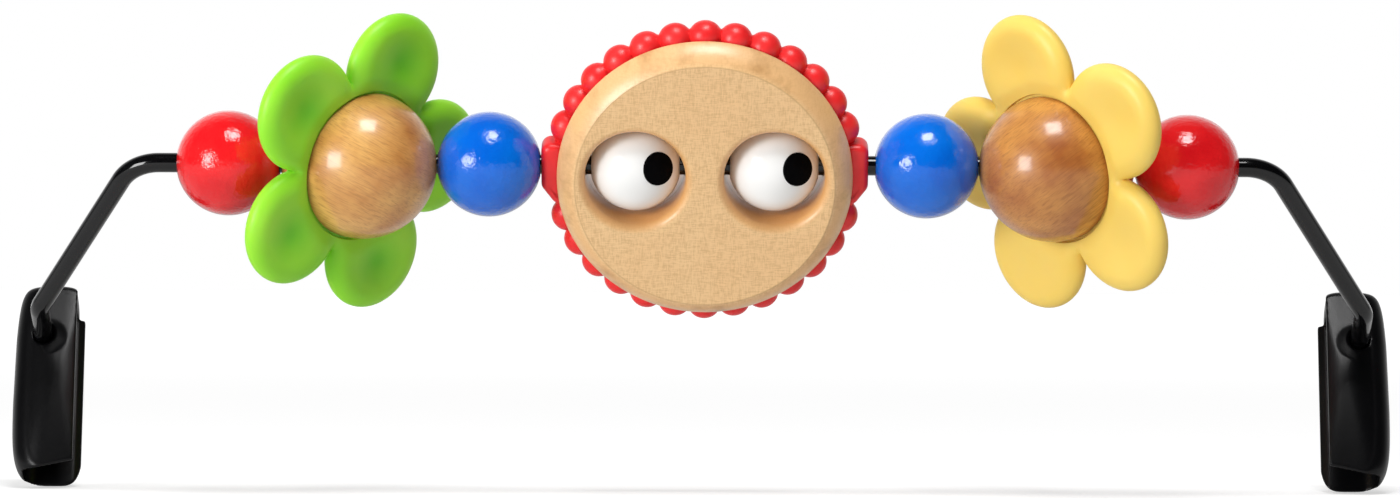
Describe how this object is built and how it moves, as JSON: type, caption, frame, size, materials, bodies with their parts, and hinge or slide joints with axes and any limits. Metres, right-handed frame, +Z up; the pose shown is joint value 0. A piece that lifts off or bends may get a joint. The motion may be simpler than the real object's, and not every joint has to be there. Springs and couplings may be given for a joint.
{
  "type": "bouncer toy bar",
  "caption": "Bent rod with a channel clip at each end that hooks over a bouncer's side tubes, and wooden beads, flowers and a round head with rolling eyes that spin on it.",
  "frame": {"origin": "midway between the channels of the two clips", "axes": "+X along the row of toys, +Z up, the toys face -Y"},
  "size_m": [0.4212, 0.1139, 0.1422],
  "materials": {
    "gloss_black": "gloss",
    "satin_black": "satin",
    "gloss_red": "gloss paint",
    "gloss_blue": "gloss paint",
    "satin_green": "satin",
    "satin_yellow": "satin",
    "honey_wood": "varnished",
    "pale_wood": "satin varnish",
    "satin_red": "satin",
    "gloss_white": "gloss",
    "inlay_black": "satin"
  },
  "bodies": {
    "frame": {"bar_rod": "gloss_black", "clip_left": "satin_black", "clip_right": "satin_black"},
    "red_bead_left": {"red_bead_left": "gloss_red"},
    "green_flower": {"green_petals": "satin_green", "green_dome_front": "honey_wood", "green_dome_rear": "honey_wood"},
    "blue_bead_left": {"blue_bead_left": "gloss_blue"},
    "head": {"head_front": "pale_wood", "head_rear": "pale_wood", "head_ring": "satin_red"},
    "eye_left": {"eye_left": "gloss_white", "pupil_left": "inlay_black"},
    "eye_right": {"eye_right": "gloss_white", "pupil_right": "inlay_black"},
    "blue_bead_right": {"blue_bead_right": "gloss_blue"},
    "yellow_flower": {"yellow_petals": "satin_yellow", "yellow_dome_front": "honey_wood", "yellow_dome_rear": "honey_wood"},
    "red_bead_right": {"red_bead_right": "gloss_red"}
  },
  "joints": [
    {"name": "row_slide", "type": "slide", "parent": "frame", "child": "red_bead_left", "axis": [1, 0, 0], "range_m": [-0.0054, 0.0021]},
    {"name": "green_flower_spin", "type": "hinge", "parent": "red_bead_left", "child": "green_flower", "pos_m": [-0.10139, -0.05269, 0.07876], "axis": [1, 0, 0], "continuous": true},
    {"name": "blue_bead_left_spin", "type": "hinge", "parent": "red_bead_left", "child": "blue_bead_left", "pos_m": [-0.06295, -0.05269, 0.07876], "axis": [1, 0, 0], "continuous": true},
    {"name": "head_spin", "type": "hinge", "parent": "red_bead_left", "child": "head", "pos_m": [0.0007, -0.05269, 0.07876], "axis": [1, 0, 0], "continuous": true},
    {"name": "eye_left_spin", "type": "hinge", "parent": "head", "child": "eye_left", "pos_m": [-0.01975, -0.05269, 0.07876], "axis": [1, 0, 0], "continuous": true},
    {"name": "eye_right_spin", "type": "hinge", "parent": "head", "child": "eye_right", "pos_m": [0.02115, -0.05269, 0.07876], "axis": [1, 0, 0], "continuous": true},
    {"name": "blue_bead_right_spin", "type": "hinge", "parent": "red_bead_left", "child": "blue_bead_right", "pos_m": [0.06616, -0.05269, 0.07876], "axis": [1, 0, 0], "continuous": true},
    {"name": "yellow_flower_spin", "type": "hinge", "parent": "red_bead_left", "child": "yellow_flower", "pos_m": [0.10459, -0.05269, 0.07876], "axis": [1, 0, 0], "continuous": true},
    {"name": "red_bead_right_spin", "type": "hinge", "parent": "red_bead_left", "child": "red_bead_right", "pos_m": [0.14303, -0.05269, 0.07876], "axis": [1, 0, 0], "continuous": true}
  ]
}
